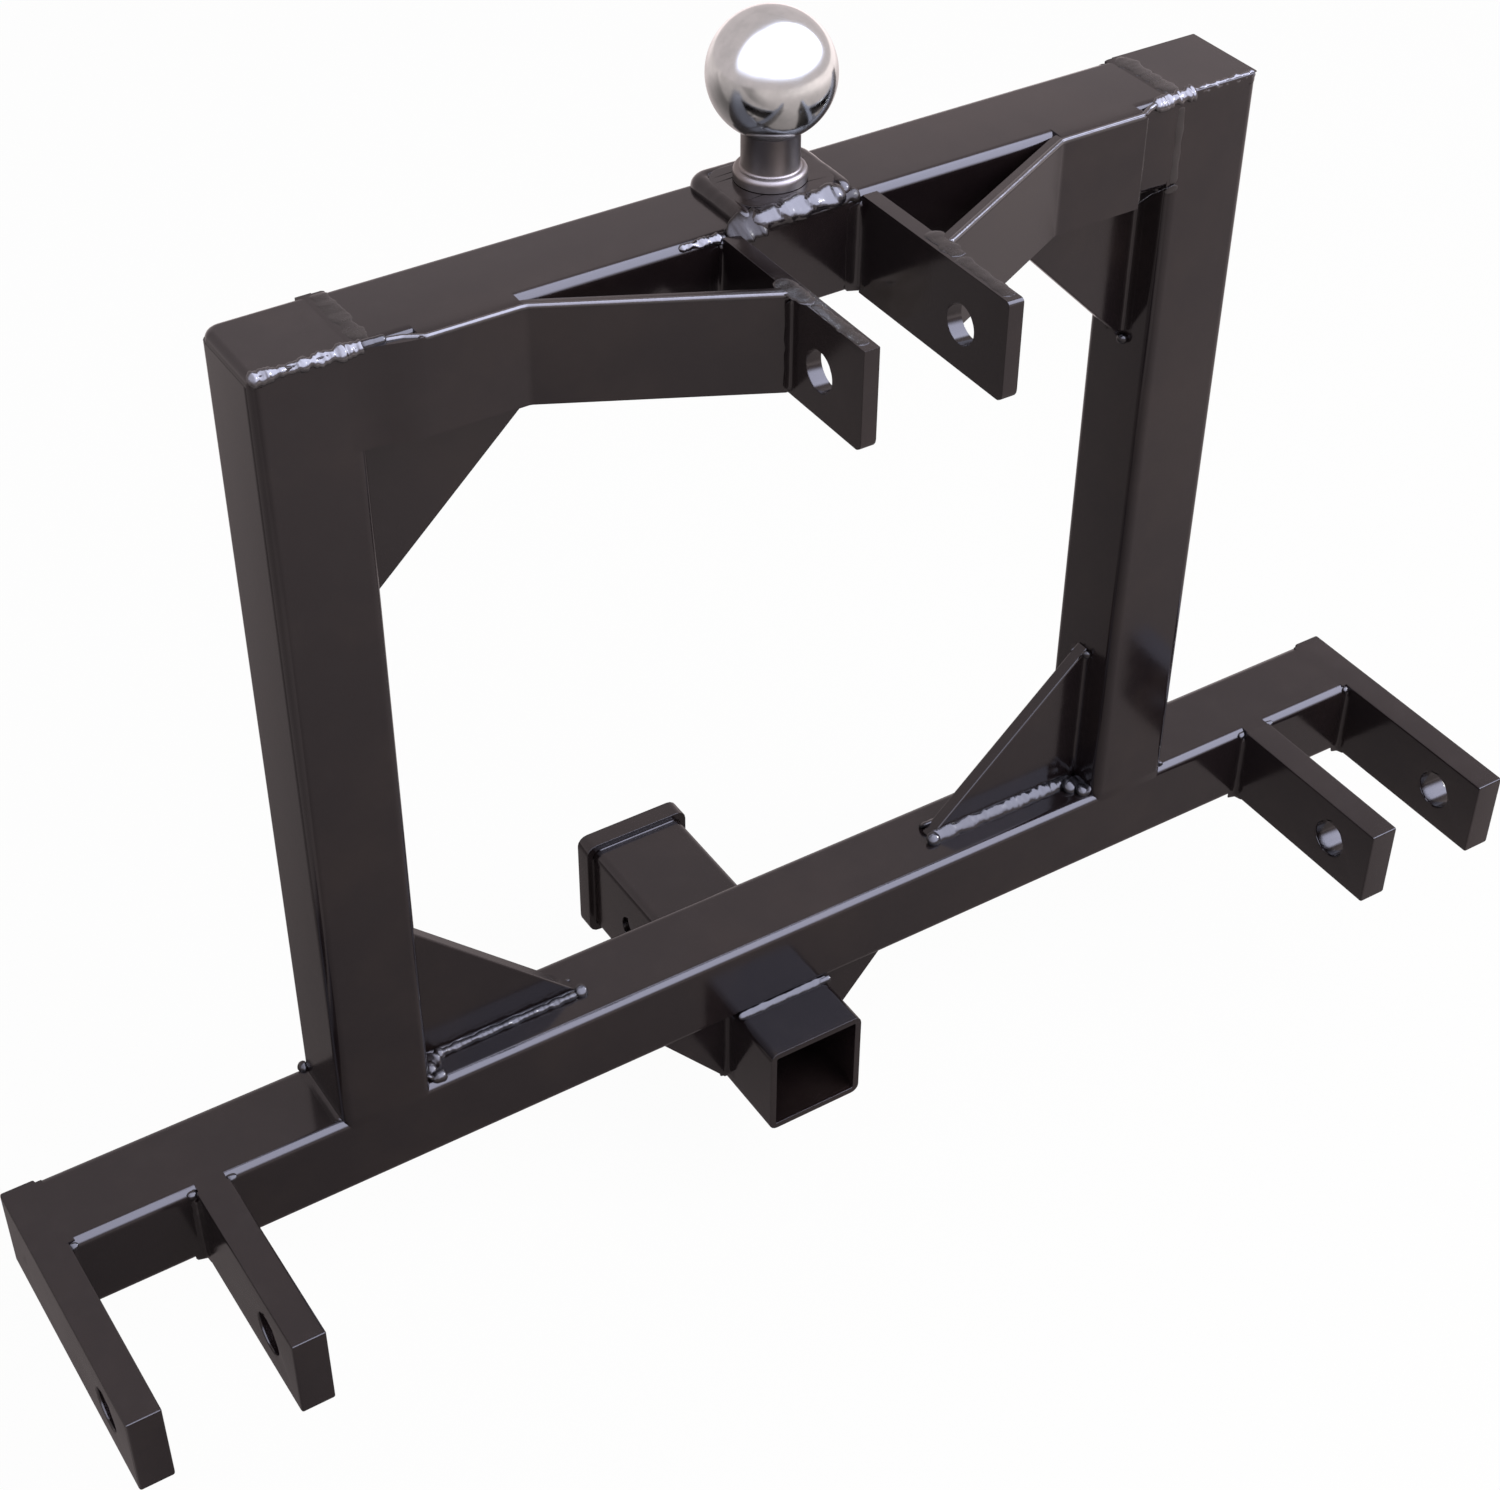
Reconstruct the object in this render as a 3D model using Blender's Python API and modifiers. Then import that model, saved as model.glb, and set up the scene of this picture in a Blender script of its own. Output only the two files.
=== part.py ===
# Three point hitch: a welded tube frame that turns a tractor's linkage into a drawbar with
# a receiver socket and a gooseneck ball.
# Metres, +Z up. +X runs along the beams, -Y points at the tractor. The origin is the middle
# of the lower linkage pins' common axis.
import math

import bmesh
import bpy
from mathutils import Vector

# Running clearance that every welded or seated pair keeps
GAP = 0.0003

# Square tube of the frame
TUBE = 0.050
TUBE_WALL = 0.004
TUBE_ROUND = 0.0055
BEAM_BACK = 0.105          # pin axis to the beams' middle plane
MAST = 0.444               # lower beam's middle to top beam's middle
WINDOW = 0.432             # clear width between the posts
CAP = 0.005                # plate that closes each post
CAP_GROUND = {"left": 0.008, "right": 0.001}    # outer rear corner, dressed after welding

# Lower clevises
PIN_SPAN = 0.761           # clevis middle to clevis middle
CLEVIS_GAP = 0.065
ARM = 0.018
ARM_HEIGHT = TUBE
ARM_NOSE = 0.033           # pin axis to the arm's end
PIN_HOLE = 0.0225

# Top link lugs and their bent braces
LUG_GAP = 0.066
LUG = 0.008
LUG_HEIGHT = TUBE
LUG_DROP = 0.001           # lug's middle below the beam's middle
LUG_HOLE = 0.020
LUG_HOLE_RISE = 0.023      # hole's middle above the lug's lower edge
LUG_HOLE_FORWARD = 0.078   # hole's middle ahead of the beam's face
LUG_NOSE = 0.033
LUG_ROUND = 0.0045
LUG_CHIP = 0.002
BRACE = 0.006
BRACE_HEIGHT = TUBE
BRACE_DROP = 0.0005
BRACE_END = 0.192          # outer end on the beam
BRACE_BEND = 0.142
BRACE_SLOPE = 0.5          # forward run for each unit towards the middle
BRACE_INNER_ROUND = 0.007

# Corner gussets, cut by hand to slightly different reaches along the beam and rises on the post
GUSSET = 0.008
GUSSET_CUT = {
    "lower_left": (0.098, 0.0950),
    "lower_right": (0.103, 0.0960),
    "upper_left": (0.103, 0.0965),
    "upper_right": (0.094, 0.0945),
}

# Receiver under the lower beam
SOCKET = 0.060
SOCKET_WALL = 0.004
SOCKET_ROUND = 0.005
SOCKET_FRONT = 0.035       # mouth ahead of the lower beam's face
SOCKET_LENGTH = 0.2086
SOCKET_PIN = 0.016
SOCKET_PIN_IN = 0.053      # pin hole's middle from the rear mouth
COLLAR = 0.004
COLLAR_WIDTH = 0.012
COLLAR_ROUND = 0.0065
WING = 0.008
WING_SPREAD = 0.078        # half width at the beam
WING_LOW = 0.0325          # half width at the lower edge
WING_DROP = 0.054
WING_SPACING = 0.024       # between the two plates' middle planes

# Ball, its pad and its fastening
BALL = 0.0587
BALL_RISE = 0.0562         # ball's middle above the top beam
NECK = 0.027
FOOT = 0.034
FOOT_HEIGHT = 0.0056
FOOT_SLOPE = 0.0019
SHANK = 0.025
PAD_WIDTH = 0.052
PAD_DEPTH = 0.041
PAD = 0.006
PAD_FORWARD = 0.001        # pad's middle ahead of the ball's axis
PAD_ROUND = 0.012
WASHER = 0.006
WASHER_WIDTH = 0.041
WASHER_SPLIT = 0.003
NUT = 0.022
NUT_FLATS = 0.038
THREAD_SPARE = 0.005

# Edge softening of cut plate and tube
PLATE_EDGE = 0.0008
BRACE_EDGE = 0.0014
ARM_EDGE = 0.0012
TUBE_EDGE = 0.0008

# Derived places
BEAM_FACE = BEAM_BACK - TUBE / 2
BEAM_REAR = BEAM_BACK + TUBE / 2
POST_X = WINDOW / 2 + TUBE / 2
BEAM_TOP = MAST + TUBE / 2
UPRIGHT = "upright"
CROSSWISE = "crosswise"
ENDWISE = "endwise"
TURNS = {
    UPRIGHT: (0.0, 0.0, 0.0),                          # outline in X and Y, thickness along Z
    CROSSWISE: (math.pi / 2, 0.0, 0.0),                # outline in X and Z, thickness along Y
    ENDWISE: (math.pi / 2, 0.0, math.pi / 2),          # outline in Y and Z, thickness along X
}


# Scene, collections and materials
for old in list(bpy.data.objects):
    bpy.data.objects.remove(old, do_unlink=True)

parts = bpy.data.collections.new("three_point_hitch")
cutters = bpy.data.collections.new("cutters")
bpy.context.scene.collection.children.link(parts)
bpy.context.scene.collection.children.link(cutters)
hitch = bpy.data.objects.new("hitch_axis", None)
parts.objects.link(hitch)


def finish(name, color, metallic, roughness, coat=0.0):
    made = bpy.data.materials.new(name)
    made.use_nodes = True
    shader = made.node_tree.nodes["Principled BSDF"]
    shader.inputs["Base Color"].default_value = (*color, 1.0)
    shader.inputs["Metallic"].default_value = metallic
    shader.inputs["Roughness"].default_value = roughness
    shader.inputs["Coat Weight"].default_value = coat
    made.diffuse_color = (*color, 1.0)
    return made


BLACK = finish("gloss_black_paint", (0.018, 0.016, 0.017), 0.0, 0.14, 0.6)
CHROME = finish("polished_ball", (0.82, 0.82, 0.84), 1.0, 0.06)
ZINC = finish("plated_steel", (0.55, 0.54, 0.52), 1.0, 0.35)


# Outlines
def rounded(corners, steps=4):
    """A closed outline in which each (x, y, radius) corner becomes an arc."""
    outline = []
    count = len(corners)
    for i, (x, y, radius) in enumerate(corners):
        corner = Vector((x, y))
        if radius == 0:
            outline.append((x, y))
            continue
        back = (Vector(corners[i - 1][:2]) - corner).normalized()
        ahead = (Vector(corners[(i + 1) % count][:2]) - corner).normalized()
        half = back.angle(ahead) / 2
        center = corner + (back + ahead).normalized() * radius / math.sin(half)
        start = corner + back * radius / math.tan(half) - center
        end = corner + ahead * radius / math.tan(half) - center
        sweep = math.atan2(start.x * end.y - start.y * end.x, start.dot(end))
        for k in range(steps + 1):
            turn = sweep * k / steps
            outline.append((
                center.x + start.x * math.cos(turn) - start.y * math.sin(turn),
                center.y + start.x * math.sin(turn) + start.y * math.cos(turn),
            ))
    return outline


def square(width, height, radius, middle=(0.0, 0.0)):
    x, y = middle
    return rounded([
        (x - width / 2, y - height / 2, radius),
        (x + width / 2, y - height / 2, radius),
        (x + width / 2, y + height / 2, radius),
        (x - width / 2, y + height / 2, radius),
    ])


def circle(x, y, diameter, steps=40):
    turns = [2 * math.pi * k / steps for k in range(steps)]
    return [(x + diameter / 2 * math.cos(a), y + diameter / 2 * math.sin(a)) for a in turns]


def tube_section(size, wall, radius):
    inner = size - 2 * wall
    return [square(size, size, radius), square(inner, inner, max(radius - wall, 0.001))]


# Solids
def shade(mesh, angle=35.0):
    mesh.shade_smooth()
    mesh.set_sharp_from_angle(angle=math.radians(angle))


def soften(thing, width, segments=2):
    edge = thing.modifiers.new("soft_edges", "BEVEL")
    edge.width = width
    edge.segments = segments
    edge.limit_method = "ANGLE"
    edge.angle_limit = math.radians(50)
    return edge


def cut(name, outlines, thickness, place, lay, material, edge=0.0):
    """Flat plate or length of section: outlines filled, given a thickness and laid in place."""
    curve = bpy.data.curves.new(name, "CURVE")
    curve.dimensions = "2D"
    curve.fill_mode = "BOTH"
    curve.extrude = thickness / 2
    for outline in outlines:
        spline = curve.splines.new("POLY")
        spline.points.add(len(outline) - 1)
        for point, (x, y) in zip(spline.points, outline):
            point.co = (x, y, 0.0, 1.0)
        spline.use_cyclic_u = True
    draft = bpy.data.objects.new(name + "_outline", curve)
    parts.objects.link(draft)
    bpy.context.view_layer.update()
    shape = draft.evaluated_get(bpy.context.evaluated_depsgraph_get())
    mesh = bpy.data.meshes.new_from_object(shape)
    work = bmesh.new()
    work.from_mesh(mesh)
    bmesh.ops.remove_doubles(work, verts=work.verts, dist=0.00001)
    bmesh.ops.recalc_face_normals(work, faces=work.faces)
    work.to_mesh(mesh)
    work.free()
    mesh.name = name
    mesh.materials.clear()
    mesh.materials.append(material)
    shade(mesh)
    bpy.data.objects.remove(draft, do_unlink=True)
    thing = bpy.data.objects.new(name, mesh)
    thing.location = place
    thing.rotation_euler = TURNS[lay]
    thing.parent = hitch
    parts.objects.link(thing)
    if edge:
        soften(thing, edge)
    return thing


def drill(thing, diameter, length, place, turn, steps=40):
    """A round hole through a piece, taken out before its edges are softened."""
    bpy.ops.mesh.primitive_cylinder_add(
        vertices=steps, radius=diameter / 2, depth=length, location=place, rotation=turn)
    tool = bpy.context.object
    tool.name = "cutter_" + thing.name
    for home in list(tool.users_collection):
        home.objects.unlink(tool)
    cutters.objects.link(tool)
    tool.hide_render = True
    tool.display_type = "WIRE"
    hole = thing.modifiers.new("hole", "BOOLEAN")
    hole.operation = "DIFFERENCE"
    hole.solver = "EXACT"
    hole.object = tool
    thing.modifiers.move(len(thing.modifiers) - 1, 0)
    return tool


def turned(name, profile, place, material, steps=48):
    """A solid turned about Z from (radius, height) pairs that run from the top to the bottom."""
    mesh = bpy.data.meshes.new(name)
    work = bmesh.new()
    points = [work.verts.new((radius, 0.0, height)) for radius, height in profile]
    for above, below in zip(points, points[1:]):
        work.edges.new((above, below))
    work.to_mesh(mesh)
    work.free()
    mesh.materials.append(material)
    thing = bpy.data.objects.new(name, mesh)
    thing.location = place
    thing.parent = hitch
    parts.objects.link(thing)
    lathe = thing.modifiers.new("lathe", "SCREW")
    lathe.steps = steps
    lathe.render_steps = steps
    lathe.use_merge_vertices = True
    lathe.merge_threshold = 0.00001
    lathe.use_smooth_shade = True
    return thing


# Frame: two beams, two posts and the plates that close the posts
frame_section = tube_section(TUBE, TUBE_WALL, TUBE_ROUND)
clevis_outer = PIN_SPAN / 2 + CLEVIS_GAP / 2
clevis_inner = PIN_SPAN / 2 - CLEVIS_GAP / 2
cut("lower_beam", frame_section, 2 * (clevis_outer - GAP), (0.0, BEAM_BACK, 0.0), ENDWISE, BLACK)
top_beam = cut("top_beam", frame_section, WINDOW - 2 * GAP, (0.0, BEAM_BACK, MAST), ENDWISE, BLACK)
drill(top_beam, SHANK + 4 * GAP, 2 * TUBE, (0.0, BEAM_BACK, MAST), (0.0, 0.0, 0.0))

post_foot = TUBE / 2 + GAP
post_head = BEAM_TOP - CAP - GAP
for side, hand in ((-1, "left"), (1, "right")):
    cut("post_" + hand, frame_section, post_head - post_foot,
        (side * POST_X, BEAM_BACK, (post_head + post_foot) / 2), UPRIGHT, BLACK)
    cap = rounded([
        (-side * TUBE / 2, -TUBE / 2, 0.0),
        (side * TUBE / 2, -TUBE / 2, 0.0),
        (side * TUBE / 2, TUBE / 2, CAP_GROUND[hand]),
        (-side * TUBE / 2, TUBE / 2, 0.0),
    ])
    cut("post_cap_" + hand, [cap], CAP,
        (side * POST_X, BEAM_BACK, BEAM_TOP - CAP / 2), UPRIGHT, BLACK, PLATE_EDGE / 2)


# Lower clevises: the outer arm covers the tube's end, the inner one butts on its face
def arm(name, x, rear):
    outline = rounded([
        (-ARM_NOSE, -ARM_HEIGHT / 2, 0.0),
        (rear, -ARM_HEIGHT / 2, 0.0),
        (rear, ARM_HEIGHT / 2, 0.0),
        (-ARM_NOSE, ARM_HEIGHT / 2, 0.0),
    ])
    cut(name, [outline, circle(0.0, 0.0, PIN_HOLE)], ARM, (x, 0.0, 0.0), ENDWISE, BLACK, ARM_EDGE)


for side, hand in ((-1, "left"), (1, "right")):
    arm("clevis_arm_outer_" + hand, side * (clevis_outer + ARM / 2), BEAM_REAR)
    arm("clevis_arm_inner_" + hand, side * (clevis_inner - ARM / 2), BEAM_FACE - GAP)


# Top link lugs, and the braces that run from the beam's face to the lugs' outer faces
lug_low = MAST - LUG_DROP - LUG_HEIGHT / 2
lug_hole_y = BEAM_FACE - LUG_HOLE_FORWARD
lug_outer = LUG_GAP / 2 + LUG


def lug(name, x, top_cut):
    nose = lug_hole_y - LUG_NOSE
    outline = rounded([
        (nose, lug_low, LUG_ROUND),
        (BEAM_FACE - GAP, lug_low, 0.0),
        (BEAM_FACE - GAP, lug_low + LUG_HEIGHT, 0.0),
        (nose, lug_low + LUG_HEIGHT, top_cut),
    ])
    hole = circle(lug_hole_y, lug_low + LUG_HOLE_RISE, LUG_HOLE)
    cut(name, [outline, hole], LUG, (x, 0.0, 0.0), ENDWISE, BLACK, PLATE_EDGE)


lug("top_link_lug_left", -(lug_outer - LUG / 2), 0.0)
lug("top_link_lug_right", lug_outer - LUG / 2, LUG_CHIP)


def brace(name, side):
    bend = math.atan(BRACE_SLOPE)
    inner = lug_outer + GAP
    back = BEAM_FACE - GAP
    front = back - BRACE
    tip = front - (BRACE_BEND - inner) * BRACE_SLOPE
    thick_on_slope = BRACE / math.cos(bend)
    back_bend = BRACE_BEND - BRACE * math.tan(bend / 2)
    outline = rounded([
        (side * BRACE_END, front, 0.0),
        (side * BRACE_BEND, front, BRACE_INNER_ROUND),
        (side * inner, tip, 0.0),
        (side * inner, tip + thick_on_slope, 0.0),
        (side * back_bend, back, BRACE_INNER_ROUND + BRACE),
        (side * BRACE_END, back, 0.0),
    ])
    cut(name, [outline], BRACE_HEIGHT, (0.0, 0.0, MAST - BRACE_DROP), UPRIGHT, BLACK, BRACE_EDGE)


brace("brace_left", -1)
brace("brace_right", 1)


# Corner gussets in the window of the frame
def gusset(level_name, hand, side, level):
    reach, rise = GUSSET_CUT[level_name + "_" + hand]
    corner = side * (WINDOW / 2 - GAP)
    base = (TUBE / 2 + GAP) if level < 0 else (MAST - TUBE / 2 - GAP)
    outline = [
        (corner, base),
        (corner, base - level * rise),
        (corner - side * reach, base),
    ]
    cut("gusset_" + level_name + "_" + hand, [outline], GUSSET,
        (0.0, BEAM_BACK, 0.0), CROSSWISE, BLACK, PLATE_EDGE)


for side, hand in ((-1, "left"), (1, "right")):
    gusset("lower", hand, side, -1)
    gusset("upper", hand, side, 1)


# Receiver: open square socket under the lower beam, its collar and the plates at its sides
socket_z = -TUBE / 2 - GAP - SOCKET / 2
socket_front = BEAM_FACE - SOCKET_FRONT
socket_rear = socket_front + SOCKET_LENGTH
receiver = cut("receiver_tube", tube_section(SOCKET, SOCKET_WALL, SOCKET_ROUND), SOCKET_LENGTH,
               (0.0, (socket_front + socket_rear) / 2, socket_z), CROSSWISE, BLACK, TUBE_EDGE)
drill(receiver, SOCKET_PIN, 2 * SOCKET, (0.0, socket_rear - SOCKET_PIN_IN, socket_z),
      (0.0, math.pi / 2, 0.0), 32)

collar_inner = SOCKET + 2 * GAP
collar_outer = collar_inner + 2 * COLLAR
cut("receiver_collar",
    [square(collar_outer, collar_outer, COLLAR_ROUND),
     square(collar_inner, collar_inner, SOCKET_ROUND)],
    COLLAR_WIDTH, (0.0, socket_rear - COLLAR_WIDTH / 2, socket_z), CROSSWISE, BLACK, PLATE_EDGE)

for side, hand in ((-1, "left"), (1, "right")):
    for end, row in ((-1, "front"), (1, "rear")):
        wing_top = -TUBE / 2 - GAP
        wing = [
            (side * (SOCKET / 2 + GAP), wing_top),
            (side * WING_SPREAD, wing_top),
            (side * WING_LOW, wing_top - WING_DROP),
            (side * (SOCKET / 2 + GAP), wing_top - WING_DROP),
        ]
        cut("receiver_plate_" + row + "_" + hand, [wing], WING,
            (0.0, BEAM_BACK + end * WING_SPACING / 2, 0.0), CROSSWISE, BLACK, PLATE_EDGE / 2)


# Ball: pad on the beam, turned ball with its shank through the beam, split washer and nut
pad_top = BEAM_TOP + PAD
cut("ball_pad",
    [square(PAD_WIDTH, PAD_DEPTH, PAD_ROUND),
     circle(0.0, PAD_FORWARD, SHANK + 4 * GAP)],
    PAD - GAP, (0.0, BEAM_BACK - PAD_FORWARD, BEAM_TOP + (PAD + GAP) / 2), UPRIGHT, BLACK, PLATE_EDGE)

ball_radius = BALL / 2
neck_turn = math.asin(NECK / BALL)
rows = 20
profile = []
for k in range(rows + 1):
    turn = (math.pi - neck_turn) * k / rows
    profile.append((ball_radius * math.sin(turn), BALL_RISE + ball_radius * math.cos(turn)))
profile[0] = (0.0, BALL_RISE + ball_radius)
foot_low = PAD + GAP
foot_high = foot_low + FOOT_HEIGHT
shank_end = -TUBE - WASHER - NUT - 2 * GAP - THREAD_SPARE
profile += [
    (NECK / 2, foot_high + FOOT_SLOPE),
    (FOOT / 2, foot_high),
    (FOOT / 2, foot_low),
    (SHANK / 2, foot_low),
    (SHANK / 2, shank_end + 0.0015),
    (SHANK / 2 - 0.0015, shank_end),
    (0.0, shank_end),
]
turned("hitch_ball", profile, (0.0, BEAM_BACK, BEAM_TOP), CHROME)

washer_top = MAST - TUBE / 2 - GAP
split = math.asin(WASHER_SPLIT / WASHER_WIDTH)
arc = [split + (2 * math.pi - 2 * split) * k / 32 for k in range(33)]
ring = [(WASHER_WIDTH / 2 * math.cos(a), WASHER_WIDTH / 2 * math.sin(a)) for a in arc]
bore = SHANK / 2 + GAP
ring += [(bore * math.cos(a), bore * math.sin(a)) for a in reversed(arc)]
cut("lock_washer", [ring], WASHER - GAP,
    (0.0, BEAM_BACK, washer_top - (WASHER - GAP) / 2), UPRIGHT, ZINC)

nut_top = washer_top - WASHER
hexagon = circle(0.0, 0.0, NUT_FLATS / math.cos(math.pi / 6), 6)
cut("ball_nut", [hexagon, circle(0.0, 0.0, 2 * bore, 32)], NUT,
    (0.0, BEAM_BACK, nut_top - NUT / 2), UPRIGHT, ZINC, 0.0)
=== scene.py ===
import math

import bmesh
import bpy
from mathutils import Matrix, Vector, noise


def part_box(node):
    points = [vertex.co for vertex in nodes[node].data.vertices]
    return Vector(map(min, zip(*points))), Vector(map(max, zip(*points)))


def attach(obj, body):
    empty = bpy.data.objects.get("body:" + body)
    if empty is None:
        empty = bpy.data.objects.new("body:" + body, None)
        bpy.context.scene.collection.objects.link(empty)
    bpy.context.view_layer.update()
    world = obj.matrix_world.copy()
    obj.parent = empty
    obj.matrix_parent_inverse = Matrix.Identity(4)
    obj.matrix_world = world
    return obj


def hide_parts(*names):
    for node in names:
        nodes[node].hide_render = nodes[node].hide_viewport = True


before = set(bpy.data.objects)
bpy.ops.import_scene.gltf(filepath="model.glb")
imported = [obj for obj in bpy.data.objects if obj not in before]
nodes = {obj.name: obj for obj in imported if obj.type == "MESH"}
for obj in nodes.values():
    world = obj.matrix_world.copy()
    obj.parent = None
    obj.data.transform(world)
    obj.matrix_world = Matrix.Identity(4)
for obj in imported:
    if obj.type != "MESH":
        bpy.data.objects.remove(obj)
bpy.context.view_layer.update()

# Three point hitch, dressed: gloss black tube and plate, rippled weld beads, polished ball.
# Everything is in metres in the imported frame; shapes and weld places are written in millimetres.
scene = bpy.context.scene
scene.view_settings.view_transform = "Standard"
mm = 0.001
samePoint = 0.002 * mm  # points of a new mesh that lie nearer than this are one
print("frame loaded,", len(nodes), "nodes")


# Small helpers for node trees
def addNode(tree, kind, values=None, **settings):
    node = tree.nodes.new(kind)
    for key, value in settings.items():
        setattr(node, key, value)
    for key, value in (values or {}).items():
        node.inputs[key].default_value = value
    return node


def feed(tree, socket, value):
    if isinstance(value, bpy.types.NodeSocket):
        tree.links.new(value, socket)
    elif value is not None:
        socket.default_value = value


def calc(tree, operation, first, second=None, third=None, clamp=False):
    node = addNode(tree, "ShaderNodeMath", operation=operation, use_clamp=clamp)
    for socket, value in zip(node.inputs, (first, second, third)):
        feed(tree, socket, value)
    return node.outputs[0]


def product(tree, value, *factors):
    for factor in factors:
        value = calc(tree, "MULTIPLY", value, factor)
    return value


def vectorCalc(tree, operation, first, second=None, scale=None):
    node = addNode(tree, "ShaderNodeVectorMath", operation=operation)
    feed(tree, node.inputs[0], first)
    feed(tree, node.inputs[1], second)
    if scale is not None:
        feed(tree, node.inputs["Scale"], scale)
    return node.outputs["Value" if operation in ("LENGTH", "DOT_PRODUCT") else "Vector"]


def split(tree, vector):
    node = addNode(tree, "ShaderNodeSeparateXYZ")
    feed(tree, node.inputs[0], vector)
    return node.outputs


def objectPlace(tree):
    return addNode(tree, "ShaderNodeTexCoord").outputs["Object"]


def remap(tree, value, low, high, toLow=0.0, toHigh=1.0):
    node = addNode(tree, "ShaderNodeMapRange", {
        "From Min": low, "From Max": high, "To Min": toLow, "To Max": toHigh,
    }, interpolation_type="SMOOTHSTEP", clamp=True)
    feed(tree, node.inputs["Value"], value)
    return node.outputs["Result"]


def blendColor(tree, factor, first, second):
    node = addNode(tree, "ShaderNodeMix", data_type="RGBA", blend_type="MIX")
    feed(tree, node.inputs[0], factor)
    feed(tree, node.inputs[6], first)
    feed(tree, node.inputs[7], second)
    return node.outputs[2]


def blendShaders(tree, factor, first, second):
    node = addNode(tree, "ShaderNodeMixShader")
    for socket, value in zip(node.inputs, (factor, first, second)):
        tree.links.new(value, socket)
    return node.outputs[0]


def speckle(tree, place, scale, detail=2.0, roughness=0.5):
    node = addNode(tree, "ShaderNodeTexNoise", {"Detail": detail, "Roughness": roughness})
    feed(tree, node.inputs["Scale"], scale)
    feed(tree, node.inputs["Vector"], place)
    return node.outputs["Fac"]


def openGroup(name, takes, gives):
    tree = bpy.data.node_groups.new(name, "ShaderNodeTree")
    for label, kind, value in takes:
        socket = tree.interface.new_socket(label, in_out="INPUT", socket_type=kind)
        socket.default_value = value
    for label, kind in gives:
        tree.interface.new_socket(label, in_out="OUTPUT", socket_type=kind)
    return tree, addNode(tree, "NodeGroupInput").outputs, addNode(tree, "NodeGroupOutput").inputs


def useGroup(tree, group, values):
    node = tree.nodes.new("ShaderNodeGroup")
    node.node_tree = group
    for key, value in values.items():
        node.inputs[key].default_value = value
    return node.outputs


# Camera at the picture's viewing angle
cameraView = {
    "place": (-0.59050, -0.80264, 1.04947),
    "turn": (50.0485, -0.4603, -32.3242),
    "lens": 64.214,
    "clip": (0.05, 60.0),
}
cameraData = bpy.data.cameras.new("hitchCamera")
cameraData.sensor_width = 36.0
cameraData.lens = cameraView["lens"]
cameraData.clip_start, cameraData.clip_end = cameraView["clip"]
hitchCamera = bpy.data.objects.new("hitchCamera", cameraData)
hitchCamera.location = cameraView["place"]
hitchCamera.rotation_euler = [math.radians(angle) for angle in cameraView["turn"]]
scene.collection.objects.link(hitchCamera)
scene.camera = hitchCamera
print("camera set")


# Effects that several finishes share; a tuple holds a noise's low and high ends, then what they become
dustForm = {
    "settled": (-0.2, 0.95, 0.35, 1.0), "cloud": (0.42, 0.78), "cloudShare": 0.75,
    "grit": (0.66, 0.80), "gritShare": 0.5, "gritFiner": 34.0,
}
filmForm = {
    "waveScale": 38.0, "patchScale": 14.0, "thin": (0.4, 0.72), "dull": (0.35, 0.75, -0.03, 0.05),
    "scuffScale": (900.0, 60.0, 70.0), "scuffTurn": (0.4, 0.9, 0.3), "scratch": (0.72, 0.80),
    "scratchRough": 0.06,
}
polishForm = {"smearScale": 90.0, "hazy": (0.35, 0.75, -0.03, 0.07)}


def buildSurfaceDust(form):
    tree, takes, gives = openGroup("surfaceDust", [
        ("Amount", "NodeSocketFloat", 0.3), ("Scale", "NodeSocketFloat", 55.0),
    ], [("Mask", "NodeSocketFloat")])
    place = objectPlace(tree)
    normal = addNode(tree, "ShaderNodeNewGeometry").outputs["Normal"]
    settled = remap(tree, split(tree, normal)["Z"], *form["settled"])
    cloud = remap(tree, speckle(tree, place, takes["Scale"], 7.0, 0.68), *form["cloud"])
    fine = product(tree, takes["Scale"], form["gritFiner"])
    grit = remap(tree, speckle(tree, place, fine, 1.0), *form["grit"])
    mask = calc(tree, "ADD", product(tree, cloud, form["cloudShare"]), product(tree, grit, form["gritShare"]))
    mask = product(tree, mask, settled)
    tree.links.new(calc(tree, "MULTIPLY", mask, takes["Amount"], clamp=True), gives["Mask"])
    return tree


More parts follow.
